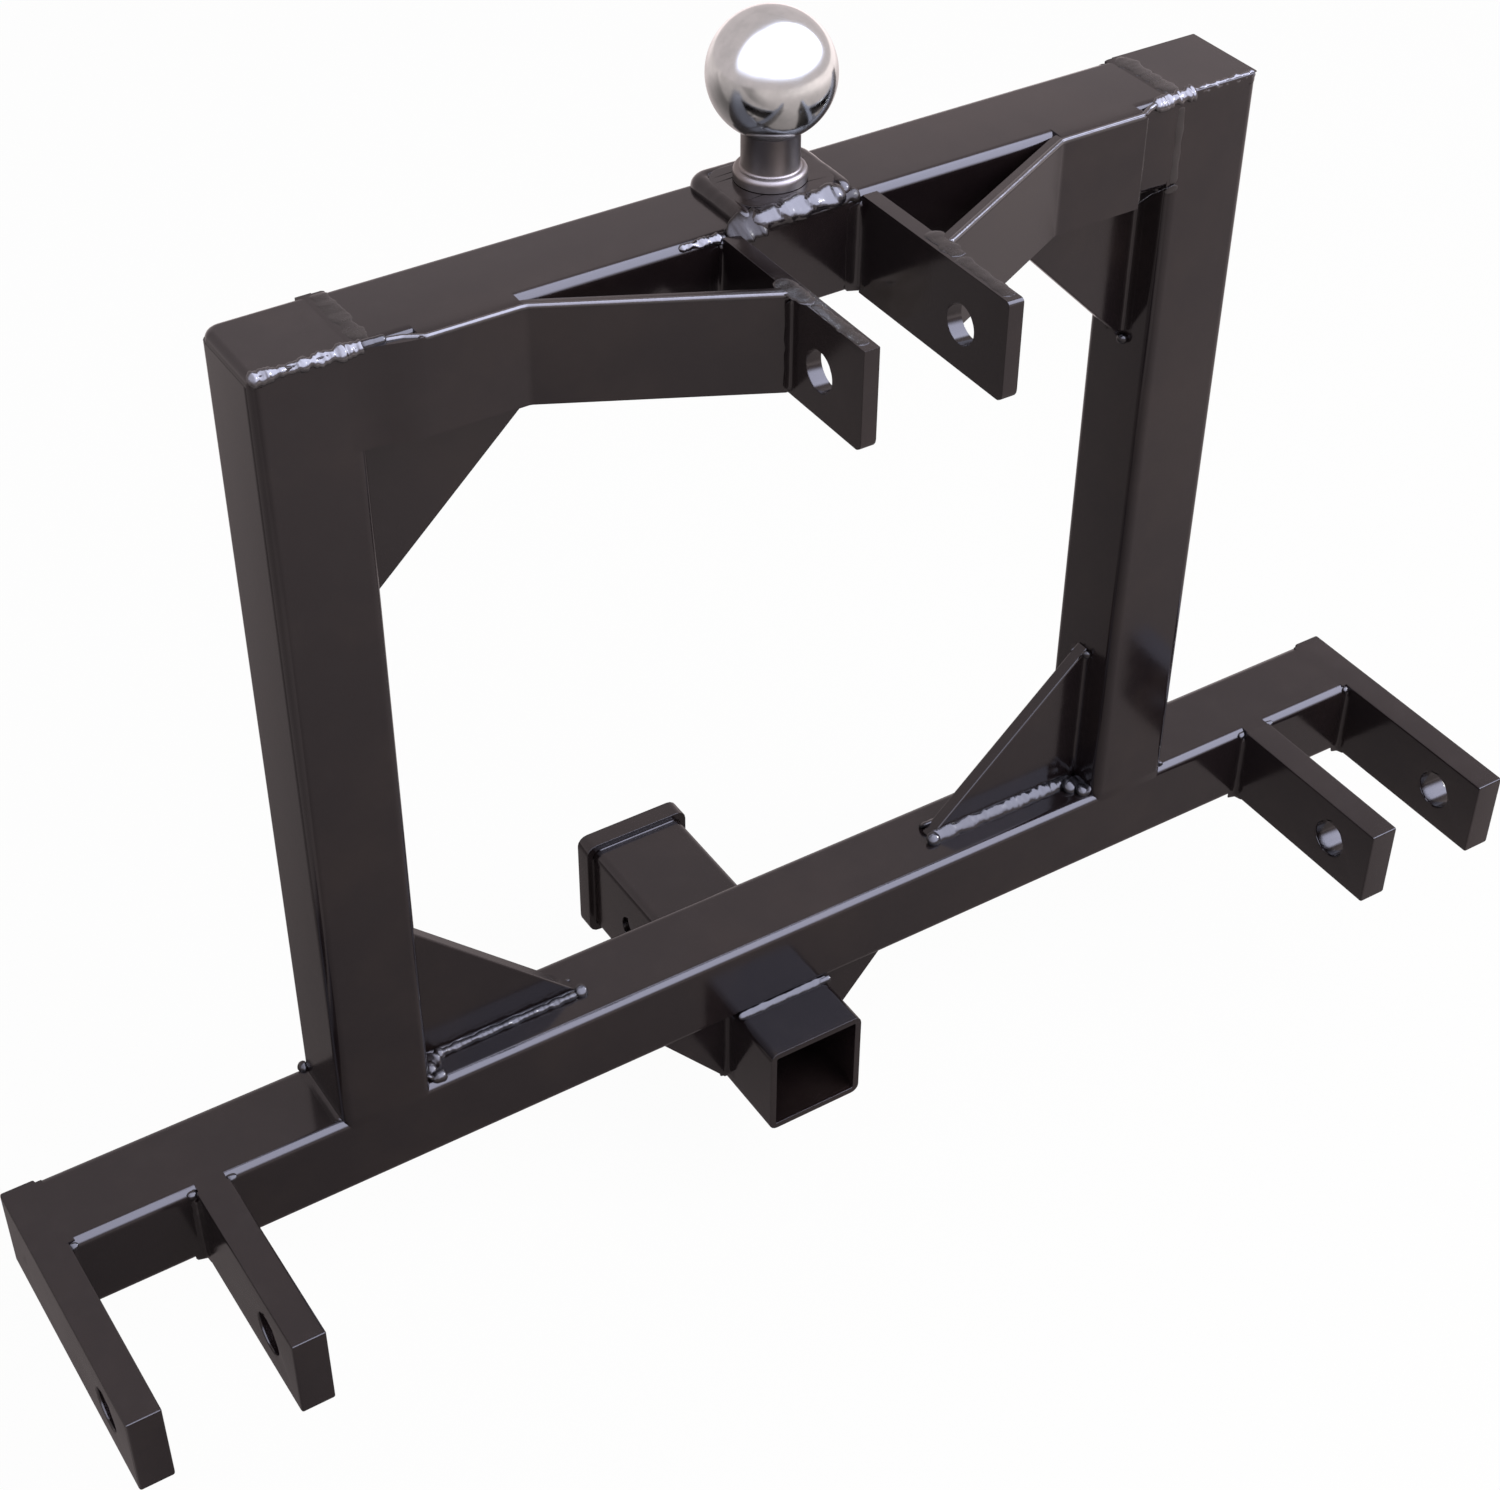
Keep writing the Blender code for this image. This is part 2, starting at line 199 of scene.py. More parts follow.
def buildPaintFilm(form):
    tree, takes, gives = openGroup("paintFilm", [
        ("Film color", "NodeSocketColor", (0.0095, 0.0065, 0.0078, 1.0)),
        ("Thin color", "NodeSocketColor", (0.0150, 0.0100, 0.0100, 1.0)),
        ("Gloss", "NodeSocketFloat", 0.2),
        ("Peel scale", "NodeSocketFloat", 420.0),
        ("Peel depth", "NodeSocketFloat", 0.3),
        ("Wave depth", "NodeSocketFloat", 1.0),
    ], [("Color", "NodeSocketColor"), ("Roughness", "NodeSocketFloat"), ("Height", "NodeSocketFloat")])
    place = objectPlace(tree)
    peel = speckle(tree, place, takes["Peel scale"], 2.0, 0.45)
    wave = speckle(tree, place, form["waveScale"], 1.5, 0.4)
    patch = speckle(tree, place, form["patchScale"], 4.0, 0.6)
    scuff = addNode(tree, "ShaderNodeMapping", {"Scale": form["scuffScale"], "Rotation": form["scuffTurn"]})
    feed(tree, scuff.inputs["Vector"], place)
    scratch = remap(tree, speckle(tree, scuff.outputs[0], 1.0, 1.0), *form["scratch"])
    tint = blendColor(tree, remap(tree, patch, *form["thin"]), takes["Film color"], takes["Thin color"])
    rough = calc(tree, "ADD", takes["Gloss"], remap(tree, patch, *form["dull"]))
    rough = calc(tree, "ADD", rough, product(tree, scratch, form["scratchRough"]))
    height = calc(tree, "ADD", product(tree, peel, takes["Peel depth"]),
                  product(tree, wave, takes["Wave depth"]))
    tree.links.new(tint, gives["Color"])
    tree.links.new(rough, gives["Roughness"])
    tree.links.new(height, gives["Height"])
    return tree


def buildPolishMarks(form):
    tree, takes, gives = openGroup("polishMarks", [
        ("Ring scale", "NodeSocketFloat", 2600.0), ("Haze", "NodeSocketFloat", 0.1),
    ], [("Roughness", "NodeSocketFloat"), ("Height", "NodeSocketFloat"), ("Tone", "NodeSocketFloat")])
    place = objectPlace(tree)
    rings = addNode(tree, "ShaderNodeTexNoise", {"Detail": 2.0, "Scale": 1.0}, noise_dimensions="1D")
    feed(tree, rings.inputs["W"], product(tree, split(tree, place)["Z"], takes["Ring scale"]))
    smear = speckle(tree, place, form["smearScale"], 4.0, 0.6)
    tree.links.new(calc(tree, "ADD", takes["Haze"], remap(tree, smear, *form["hazy"])), gives["Roughness"])
    tree.links.new(rings.outputs["Fac"], gives["Height"])
    tree.links.new(smear, gives["Tone"])
    return tree


surfaceDust = buildSurfaceDust(dustForm)
paintFilm = buildPaintFilm(filmForm)
polishMarks = buildPolishMarks(polishForm)


# Finishes
def startFinish(name):
    made = bpy.data.materials.new(name)
    made.use_nodes = True
    return made, made.node_tree, made.node_tree.nodes["Principled BSDF"]


def endFinish(tree, shader, tint, rough, height, depth):
    bump = addNode(tree, "ShaderNodeBump", {"Strength": 1.0, "Distance": depth})
    tree.links.new(height, bump.inputs["Height"])
    tree.links.new(bump.outputs["Normal"], shader.inputs["Normal"])
    tree.links.new(tint, shader.inputs["Base Color"])
    tree.links.new(rough, shader.inputs["Roughness"])


def paintedFinish(name, look):
    made, tree, shader = startFinish(name)
    shader.inputs["IOR"].default_value = look["ior"]
    film = useGroup(tree, paintFilm, look["film"])
    dust = useGroup(tree, surfaceDust, look["dust"])["Mask"]
    tint = blendColor(tree, dust, film["Color"], look["dustColor"])
    rough = calc(tree, "ADD", film["Roughness"], product(tree, dust, look["dustRough"]))
    endFinish(tree, shader, tint, rough, film["Height"], look["bump"])
    return made


def metalFinish(name, look):
    made, tree, shader = startFinish(name)
    shader.inputs["Metallic"].default_value = 1.0
    marks = useGroup(tree, polishMarks, look["marks"])
    tint = blendColor(tree, remap(tree, marks["Tone"], *look["tones"]), look["bright"], look["dull"])
    rough = marks["Roughness"]
    if "neckTop" in look:  # below this height the metal is only turned, not polished
        height = split(tree, objectPlace(tree))["Z"]
        turned = remap(tree, height, look["neckTop"], look["neckTop"] - look["neckBlend"])
        tint = blendColor(tree, turned, tint, look["neck"])
        rough = calc(tree, "ADD", rough, product(tree, turned, look["neckRough"]))
    endFinish(tree, shader, tint, rough, marks["Height"], look["bump"])
    return made


tubeLook = {
    "film": {"Gloss": 0.14, "Peel scale": 420.0, "Peel depth": 0.22, "Wave depth": 1.0},
    "dust": {"Amount": 0.06, "Scale": 48.0},
    "dustColor": (0.10, 0.085, 0.08, 1.0),
    "dustRough": 0.8,
    "bump": 0.00006,
    "ior": 1.5,
}
plateLook = {
    **tubeLook,
    "film": {"Gloss": 0.16, "Peel scale": 520.0, "Peel depth": 0.3, "Wave depth": 0.5},
    "dust": {"Amount": 0.07, "Scale": 70.0},
}
weldLook = {
    "film": {"Gloss": 0.17, "Peel scale": 900.0, "Peel depth": 0.5, "Wave depth": 0.5,
             "Film color": (0.0080, 0.0075, 0.0100, 1.0)},
    "dust": {"Amount": 0.04, "Scale": 140.0},
    "dustColor": (0.10, 0.09, 0.09, 1.0),
    "dustRough": 0.5,
    "bump": 0.0001,
    "ior": 1.5,
}
smearLook = {
    "film": {"Gloss": 0.26, "Peel scale": 900.0, "Peel depth": 0.6, "Wave depth": 0.5,
             "Film color": (0.012, 0.010, 0.010, 1.0), "Thin color": (0.020, 0.016, 0.016, 1.0)},
    "dust": {"Amount": 0.14, "Scale": 160.0},
    "dustColor": (0.11, 0.10, 0.09, 1.0),
    "dustRough": 0.5,
    "bump": 0.00008,
    "ior": 1.5,
}
glossBlack = paintedFinish("glossBlackTube", tubeLook)
glossPlate = paintedFinish("glossBlackPlate", plateLook)
weldPaint = paintedFinish("glossBlackWeld", weldLook)
castPaint = paintedFinish("glossBlackCast", {**weldLook, "ior": 1.62})
edgePaint = paintedFinish("glossBlackEdge", {**weldLook, "ior": 1.85})  # thick runs glint harder
dullPaint = paintedFinish("dullBlackSmear", smearLook)
flowPaint = paintedFinish("dullBlackFlow", {**smearLook, "ior": 1.33})
polishedBall = metalFinish("polishedBall", {
    "marks": {"Ring scale": 2600.0, "Haze": 0.15}, "bump": 0.000004,
    "bright": (0.58, 0.61, 0.60, 1.0), "dull": (0.50, 0.53, 0.52, 1.0), "tones": (0.35, 0.7),
    "neck": (0.20, 0.185, 0.175, 1.0), "neckRough": 0.26, "neckTop": 0.5020, "neckBlend": 0.0025,
})
platedSteel = metalFinish("platedSteel", {
    "marks": {"Ring scale": 5200.0, "Haze": 0.34}, "bump": 0.00001,
    "bright": (0.55, 0.54, 0.52, 1.0), "dull": (0.40, 0.38, 0.35, 1.0), "tones": (0.35, 0.7),
})
print("finishes made")


# Helpers that make a piece, hang it under the root and hide the nodes that it stands for
def keepPiece(piece, slot, *stoodFor):
    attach(piece, "root")
    if stoodFor:
        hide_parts(*stoodFor)


def span(nodeName, axis):  # a node's low and high ends in millimetres
    low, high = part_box(nodeName)
    return round(low[axis] / mm, 2), round(high[axis] / mm, 2)


def coat(mesh, finish):
    mesh.materials.clear()
    mesh.materials.append(finish)


def newPiece(name, mesh, finish=None):
    piece = bpy.data.objects.new(name, mesh)
    scene.collection.objects.link(piece)
    if finish:
        coat(mesh, finish)
    return piece


def smoothMesh(mesh, work, sharpAngle):
    work.to_mesh(mesh)
    work.free()
    mesh.shade_smooth()
    mesh.set_sharp_from_angle(angle=math.radians(sharpAngle))


def madePiece(name, work, finish, sharpAngle):
    bmesh.ops.recalc_face_normals(work, faces=work.faces)
    mesh = bpy.data.meshes.new(name)
    smoothMesh(mesh, work, sharpAngle)
    return newPiece(name, mesh, finish)


def bakeModifiers(piece):
    bpy.context.view_layer.update()
    baked = bpy.data.meshes.new_from_object(piece.evaluated_get(bpy.context.evaluated_depsgraph_get()))
    piece.modifiers.clear()
    piece.data = baked
    baked.name = piece.name


def evenSkin(piece):
    even = piece.modifiers.new("evenNormals", "WEIGHTED_NORMAL")
    even.keep_sharp = True
    even.weight = 100
    bakeModifiers(piece)
    return piece


# CAD nodes that only need a smooth skin: a merged copy with even normals stands for each
dressing = {
    "seam": 0.02 * mm, "sharp": 40.0,
    "tubes": {
        "lower_beam": "lowerBeam", "top_beam": "topBeam",
        "post_left": "leftPost", "post_right": "rightPost",
        "receiver_tube": "receiverTube", "receiver_collar": "receiverCollar",
    },
    "plates": {
        "clevis_arm_outer_left": "outerLeftArm", "clevis_arm_outer_right": "outerRightArm",
        "clevis_arm_inner_left": "innerLeftArm", "clevis_arm_inner_right": "innerRightArm",
        "top_link_lug_left": "leftLug", "top_link_lug_right": "rightLug",
        "brace_left": "leftBrace", "brace_right": "rightBrace",
        "ball_pad": "ballPad",
    },
}


def dressNode(nodeName, pieceName, finish, form):
    mesh = nodes[nodeName].data.copy()
    for attribute in ("custom_normal", "sharp_edge", "sharp_face"):
        if attribute in mesh.attributes:
            mesh.attributes.remove(mesh.attributes[attribute])
    work = bmesh.new()
    work.from_mesh(mesh)
    bmesh.ops.remove_doubles(work, verts=work.verts, dist=form["seam"])
    smoothMesh(mesh, work, form["sharp"])
    keepPiece(evenSkin(newPiece(pieceName, mesh, finish)), "gloss_black_paint", nodeName)


for nodeName, pieceName in dressing["tubes"].items():
    dressNode(nodeName, pieceName, glossBlack, dressing)
for nodeName, pieceName in dressing["plates"].items():
    dressNode(nodeName, pieceName, glossPlate, dressing)
for nodeName in nodes:
    if nodeName.startswith(("gusset", "receiver_plate")):
        coat(nodes[nodeName].data, glossPlate)
for nodeName in ("lock_washer", "ball_nut"):
    coat(nodes[nodeName].data, platedSteel)
print("tubes and plates dressed")


def roundedPlan(low, high, radii, first=0, steps=6):
    # points round a rectangle from one of its corners on, each with its way outwards
    plan = []
    for number in range(first, first + 4):
        radius = radii[number % 4]
        middleX = low[0] + radius if number % 4 in (0, 3) else high[0] - radius
        middleY = low[1] + radius if number % 4 < 2 else high[1] - radius
        for step in range(steps + 1):
            turn = math.radians(180 + 90 * number + 90 / steps * step)
            across, back = math.cos(turn), math.sin(turn)
            plan.append((middleX + radius * across, middleY + radius * back, across, back))
    return plan


def joinRings(work, rings):
    for below, above in zip(rings, rings[1:]):
        for step in range(len(below)):
            after = (step + 1) % len(below)
            work.faces.new((below[step], below[after], above[after], above[step]))
    work.faces.new(rings[0])
    work.faces.new(rings[-1])


# Caps on the posts; the left one is ground round along its outer and rear top edges
capForm = {"frontRound": 0.6, "innerRound": 0.5, "cornerLoss": 4.0, "leastCorner": 0.6, "steps": 6,
           "sharp": 40.0}
capShapes = {
    "post_cap_left": {"name": "leftPostCap", "outerRound": 4.2, "rearRound": 4.2,
                      "corners": (2.5, 1.0, 1.0, 8.0)},
    "post_cap_right": {"name": "rightPostCap", "outerRound": 0.8, "rearRound": 1.0,
                       "corners": (1.0, 5.0, 1.5, 1.0)},
}


def shapeCap(nodeName, shape, form):
    left, right = span(nodeName, 0)
    front, rear = span(nodeName, 1)
    base, top = span(nodeName, 2)
    leftRound, rightRound = shape["outerRound"], form["innerRound"]
    if left > 0:
        leftRound, rightRound = rightRound, leftRound
    deepest = max(leftRound, rightRound, shape["rearRound"])
    levels = [(base, 0.0)]
    for step in range(form["steps"] + 1):
        turn = math.pi / 2 * step / form["steps"]
        levels.append((top - deepest * (1 - math.sin(turn)), 1 - math.cos(turn)))
    work = bmesh.new()
    rings = []
    for height, inward in levels:
        low = (left + leftRound * inward, front + form["frontRound"] * inward)
        high = (right - rightRound * inward, rear - shape["rearRound"] * inward)
        radii = [max(form["leastCorner"], corner - form["cornerLoss"] * inward)
                 for corner in shape["corners"]]
        rings.append([work.verts.new(Vector((x, y, height)) * mm)
                      for x, y, across, back in roundedPlan(low, high, radii)])
    joinRings(work, rings)
    return madePiece(shape["name"], work, glossPlate, form["sharp"])


for nodeName, capShape in capShapes.items():
    keepPiece(evenSkin(shapeCap(nodeName, capShape, capForm)), "gloss_black_paint", nodeName)
print("caps shaped")


# Polished ball, turned in one piece with its neck, foot and shank
ballShape = {
    "middle": (0.0, 105.0, 525.2), "radius": 29.35, "neck": 13.5, "neckFlare": 0.6, "flareDrop": 0.9,
    "neckFillet": 1.2, "foot": 17.0, "footRound": (2.2, 2.8), "footTop": 480.9, "footLow": 475.3,
    "shank": 12.5, "end": 385.4, "chamfer": 1.5, "ballSteps": 44, "roundSteps": 8, "steps": 96,
    "sharp": 50.0,
}


def turnBall(shape):
    x, y, z = shape["middle"]
    radius, neck, shank, footTop = shape["radius"], shape["neck"], shape["shank"], shape["footTop"]
    neckTurn = math.asin((neck + shape["neckFlare"]) / radius)
    profile = [(0.0, z + radius)]
    for step in range(1, shape["ballSteps"] + 1):
        turn = (math.pi - neckTurn) * step / shape["ballSteps"]
        profile.append((radius * math.sin(turn), z + radius * math.cos(turn)))
    profile.append((neck, profile[-1][1] - shape["flareDrop"]))
    turns = [math.pi / 2 * step / shape["roundSteps"] for step in range(shape["roundSteps"] + 1)]
    fillet = shape["neckFillet"]
    for turn in turns:
        profile.append((neck + fillet * (1 - math.cos(turn)), footTop + fillet - fillet * math.sin(turn)))
    inward, drop = shape["footRound"]
    for turn in turns:
        profile.append((shape["foot"] - inward * (1 - math.sin(turn)), footTop - drop * (1 - math.cos(turn))))
    profile += [
        (shape["foot"], shape["footLow"]),
        (shank, shape["footLow"]), (shank, shape["end"] + shape["chamfer"]),
        (shank - shape["chamfer"], shape["end"]), (0.0, shape["end"]),
    ]
    work = bmesh.new()
    points = [work.verts.new(((x + across) * mm, y * mm, height * mm)) for across, height in profile]
    for above, below in zip(points, points[1:]):
        work.edges.new((above, below))
    bmesh.ops.spin(work, geom=work.verts[:] + work.edges[:], cent=(x * mm, y * mm, 0.0), axis=(0, 0, 1),
                   angle=2 * math.pi, steps=shape["steps"], use_merge=True)
    bmesh.ops.remove_doubles(work, verts=work.verts, dist=samePoint)
    return madePiece("hitchBall", work, polishedBall, shape["sharp"])


keepPiece(turnBall(ballShape), "polished_ball", "hitch_ball")
print("ball turned")


# Weld beads: one tree sweeps a rippled, lumpy section along every weld path
beadForm = {
    "swell": 2.6, "sway": 1.5, "swayShift": (3.0, 5.0, 7.0), "jitter": 0.8, "lap": 1.6, "crestLine": 0.4,
    "leastEnd": 0.0001, "tip": 0.0004, "coveWaist": 0.34, "coveDip": 0.075, "coveFloor": 0.5,
    "coveLine": -0.001, "grainScale": 900.0, "endShare": 0.5,
}


def buildBeadTree(form):
    tree = bpy.data.node_groups.new("weldBeads", "GeometryNodeTree")
    face = tree.interface
    face.new_socket("Geometry", in_out="INPUT", socket_type="NodeSocketGeometry")
    for label, kind, value in (
        ("Step", "NodeSocketFloat", 0.0004), ("Bow", "NodeSocketFloat", 0.45),
        ("Lump size", "NodeSocketFloat", 0.007), ("Grain depth", "NodeSocketFloat", 0.00012),
        ("Sides", "NodeSocketInt", 16), ("Seed", "NodeSocketInt", 3),
    ):
        face.new_socket(label, in_out="INPUT", socket_type=kind).default_value = value
    face.new_socket("Finish", in_out="INPUT", socket_type="NodeSocketMaterial")
    face.new_socket("Geometry", in_out="OUTPUT", socket_type="NodeSocketGeometry")
    takes = addNode(tree, "NodeGroupInput").outputs
    gives = addNode(tree, "NodeGroupOutput").inputs

    def named(label, kind):
        return addNode(tree, "GeometryNodeInputNamedAttribute", {"Name": label}, data_type=kind).outputs[0]

    def keep(geometry, value, kind):
        node = addNode(tree, "GeometryNodeCaptureAttribute", domain="POINT")
        node.capture_items.new(kind, "kept")
        tree.links.new(geometry, node.inputs[0])
        tree.links.new(value, node.inputs[1])
        return node.outputs[0], node.outputs[1]

    def wander(place, scale, detail=1.0):
        return calc(tree, "SUBTRACT", speckle(tree, place, scale, detail), 0.5)

    def position():
        return addNode(tree, "GeometryNodeInputPosition").outputs[0]

    # the path, with what each of its points knows
    toCurve = addNode(tree, "GeometryNodeMeshToCurve")
    tree.links.new(takes["Geometry"], toCurve.inputs[0])
    resample = addNode(tree, "GeometryNodeResampleCurve", mode="LENGTH")
    tree.links.new(toCurve.outputs[0], resample.inputs["Curve"])
    tree.links.new(takes["Step"], resample.inputs["Length"])
    path = resample.outputs[0]
    along = addNode(tree, "GeometryNodeSplineParameter").outputs["Length"]
    whole = addNode(tree, "GeometryNodeSplineLength").outputs["Length"]
    path, axisPlace = keep(path, position(), "VECTOR")
    path, tangent = keep(path, addNode(tree, "GeometryNodeInputTangent").outputs[0], "VECTOR")
    path, outward = keep(path, named("beadOut", "FLOAT_VECTOR"), "VECTOR")
    path, sizes = keep(path, named("beadSize", "FLOAT_VECTOR"), "VECTOR")
    path, beat = keep(path, named("beadBeat", "FLOAT_VECTOR"), "VECTOR")
    path, hollow = keep(path, named("beadHollow", "FLOAT"), "FLOAT")
    path, travelled = keep(path, along, "FLOAT")
    path, remaining = keep(path, calc(tree, "SUBTRACT", whole, along), "FLOAT")
    ring = addNode(tree, "GeometryNodeCurvePrimitiveCircle", {"Radius": 1.0})
    tree.links.new(takes["Sides"], ring.inputs["Resolution"])
    section, ringPlace = keep(ring.outputs["Curve"], position(), "VECTOR")
    sweep = addNode(tree, "GeometryNodeCurveToMesh", {"Fill Caps": True})
    tree.links.new(path, sweep.inputs["Curve"])
    tree.links.new(section, sweep.inputs["Profile Curve"])
    width, height, ripple = split(tree, sizes)
    pitch, lump, endRound = split(tree, beat)
    across, outUp = split(tree, ringPlace)[:2]

    # round ends, slow lumps and ripples
    nearEnd = calc(tree, "DIVIDE", calc(tree, "MINIMUM", travelled, remaining),
                   calc(tree, "MAXIMUM", endRound, form["leastEnd"]), clamp=True)
    turnedEnd = calc(tree, "SUBTRACT", 1.0, calc(tree, "POWER", calc(tree, "SUBTRACT", 1.0, nearEnd), 2.0))
    taper = calc(tree, "SQRT", calc(tree, "MAXIMUM", turnedEnd, form["tip"]))
    shift = addNode(tree, "ShaderNodeCombineXYZ")
    tree.links.new(takes["Seed"], shift.inputs[0])
    seeded = vectorCalc(tree, "ADD", axisPlace, shift.outputs[0])
    lumpScale = calc(tree, "DIVIDE", 1.0, takes["Lump size"])
    slow = wander(seeded, lumpScale)
    sway = wander(vectorCalc(tree, "ADD", seeded, form["swayShift"]), lumpScale)
    swell = calc(tree, "MULTIPLY_ADD", product(tree, slow, lump), form["swell"], 1.0)
    wide = calc(tree, "MULTIPLY_ADD", product(tree, sway, lump), form["sway"], 0.5)
    bowed = product(tree, across, across, takes["Bow"])
    phase = calc(tree, "SUBTRACT", calc(tree, "DIVIDE", travelled, pitch), bowed)
    phase = calc(tree, "ADD", phase, product(tree, slow, form["jitter"]))
    scale = calc(tree, "POWER", calc(tree, "FRACT", phase), form["lap"])  # each ripple laps over the last
    crest = calc(tree, "MULTIPLY_ADD", calc(tree, "SUBTRACT", form["crestLine"], scale), ripple, 1.0)
    grow = product(tree, swell, crest, taper)

    # the section: crowned, or a hollow fillet that leaves both walls smoothly
    half = product(tree, width, product(tree, taper, wide))
    offset = product(tree, across, half)
    crown = product(tree, outUp, height, grow)
    waist = product(tree, half, form["coveWaist"])
    dip = calc(tree, "SQRT", calc(tree, "ADD", product(tree, offset, offset), product(tree, waist, waist)))
    dip = calc(tree, "SUBTRACT", dip, product(tree, half, form["coveDip"]))
    under = calc(tree, "ADD", calc(tree, "ABSOLUTE", offset), product(tree, outUp, half, form["coveFloor"]))
    upper = calc(tree, "GREATER_THAN", outUp, form["coveLine"])
    cove = calc(tree, "ADD", product(tree, upper, dip),
                product(tree, calc(tree, "SUBTRACT", 1.0, upper), under))
    raised = calc(tree, "ADD", product(tree, crown, calc(tree, "SUBTRACT", 1.0, hollow)),
                  product(tree, cove, hollow))
    side = vectorCalc(tree, "NORMALIZE", vectorCalc(tree, "CROSS_PRODUCT", outward, tangent))
    sideways = vectorCalc(tree, "SCALE", side, scale=offset)
    upwards = vectorCalc(tree, "SCALE", outward, scale=raised)
    moved = vectorCalc(tree, "ADD", vectorCalc(tree, "ADD", axisPlace, sideways), upwards)
    grain = wander(vectorCalc(tree, "ADD", moved, shift.outputs[0]), form["grainScale"], 2.0)
    rough = vectorCalc(tree, "SCALE", outward, scale=product(tree, grain, takes["Grain depth"]))

    place = addNode(tree, "GeometryNodeSetPosition")
    tree.links.new(sweep.outputs[0], place.inputs["Geometry"])
    tree.links.new(vectorCalc(tree, "ADD", moved, rough), place.inputs["Position"])
    smooth = addNode(tree, "GeometryNodeSetShadeSmooth")
    tree.links.new(place.outputs[0], smooth.inputs[0])
    realize = addNode(tree, "GeometryNodeRealizeInstances")
    tree.links.new(smooth.outputs[0], realize.inputs[0])
    paint = addNode(tree, "GeometryNodeSetMaterial")
    tree.links.new(realize.outputs[0], paint.inputs["Geometry"])
    tree.links.new(takes["Finish"], paint.inputs["Material"])
    tree.links.new(paint.outputs[0], gives["Geometry"])
    return tree


beadTree = buildBeadTree(beadForm)
beadKinds = {
    # width and height follow the leg; lift puts the section's middle on the corner's bisector
    "fillet": {"width": 1.35, "height": 0.33, "lift": 0.47, "ripple": 0.16, "pitch": 2.9, "lump": 0.5},
    "smooth": {"width": 1.35, "height": 0.26, "lift": 0.43, "ripple": 0.04, "pitch": 4.0, "lump": 0.3},
    "soft": {"width": 1.38, "height": 0.22, "lift": -0.02, "pitch": 5.0, "lump": 0.12, "hollow": 1},
    "smear": {"width": 1.0, "height": 0.07, "ripple": 0.1, "pitch": 3.0, "lump": 0.5},
    "edge": {"width": 1.0, "height": 0.5, "pitch": 6.0, "lump": 0.04},
    "strip": {"width": 1.05, "height": 0.34, "ripple": 0.10, "pitch": 4.4, "lump": 0.55},
    "cast": {"width": 1.0, "height": 0.24, "ripple": 0.32, "pitch": 14.5, "lump": 0.3},
    "puddle": {"width": 1.0, "height": 0.16, "pitch": 9.0, "lump": 0.5},
    "rope": {"width": 1.0, "height": 0.5, "ripple": 0.14, "pitch": 3.1, "lump": 0.55},
    "skirt": {"width": 1.0, "height": 0.5, "pitch": 9.0, "lump": 0.03},
    "ball": {"width": 1.0, "height": 0.34, "pitch": 9.0, "lump": 0.3},
    "rod": {"width": 1.0, "height": 0.5, "ripple": 0.04, "pitch": 6.0, "lump": 0.15},
}


def layBeads(name, beads, settings=None):
    mesh = bpy.data.meshes.new(name)
    places, edges, outs, sizes, beats, hollows = [], [], [], [], [], []
    for points, outward, leg, kind in beads:
        look = {"lift": 0.0, "ripple": 0.0, "hollow": 0, **beadKinds[kind]}
        turning = outward if isinstance(outward, list) else [outward] * len(points)
        for number, (point, out) in enumerate(zip(points, turning)):
            if number:
                edges.append((len(places) - 1, len(places)))
            out = Vector(out).normalized()
            places.append((Vector(point) + out * leg * look["lift"]) * mm)
            outs.append(out)
            sizes.append((leg * look["width"] * mm, leg * look["height"] * mm, look["ripple"]))
            beats.append((look["pitch"] * mm, look["lump"], leg * beadForm["endShare"] * mm))
            hollows.append(float(look["hollow"]))
    mesh.from_pydata(places, edges, [])
    for label, values in (("beadOut", outs), ("beadSize", sizes), ("beadBeat", beats)):
        attribute = mesh.attributes.new(label, "FLOAT_VECTOR", "POINT")
        attribute.data.foreach_set("vector", [part for value in values for part in value])
    mesh.attributes.new("beadHollow", "FLOAT", "POINT").data.foreach_set("value", hollows)
    piece = newPiece(name, mesh)
    laying = piece.modifiers.new("beads", "NODES")
    laying.node_group = beadTree
    given = {"Finish": weldPaint, **(settings or {})}
    for socket in beadTree.interface.items_tree:
        if socket.in_out == "INPUT" and socket.name in given:
            laying[socket.identifier] = given[socket.name]
    bakeModifiers(piece)
    for label in ("beadOut", "beadSize", "beadBeat", "beadHollow"):
        if label in piece.data.attributes:
            piece.data.attributes.remove(piece.data.attributes[label])
    work = bmesh.new()
    work.from_mesh(piece.data)
    bmesh.ops.dissolve_degenerate(work, dist=samePoint, edges=work.edges)
    work.to_mesh(piece.data)
    work.free()
    print(name, len(piece.data.polygons), "faces")
    keepPiece(piece, "gloss_black_paint")


coveSettings = {"Step": 0.0015, "Sides": 32, "Grain depth": 0.00003, "Finish": glossBlack}
smearSettings = {"Step": 0.001, "Sides": 24, "Grain depth": 0.00008, "Finish": dullPaint}


def layAll(part, beads):
    coves = [bead for bead in beads if bead[3] == "soft"]
    smears = [bead for bead in beads if bead[3] == "smear"]
    layBeads(part + "Welds", [bead for bead in beads if bead[3] not in ("soft", "smear")])
    layBeads(part + "Coves", coves, coveSettings)
    if smears:
        layBeads(part + "Smears", smears, smearSettings)


# a bead is its points, its way outwards, its leg and its kind
def dab(x, y, z, out, leg, along=(1, 0, 0), length=None):
    reach = Vector(along).normalized() * (length or leg) / 2
    return ([tuple(Vector((x, y, z)) - reach), tuple(Vector((x, y, z)) + reach)], out, leg, "ball")


def upright(x, y, low, high, out, leg, kind="soft"):
    return ([(x, y, low), (x, y, high)], out, leg, kind)


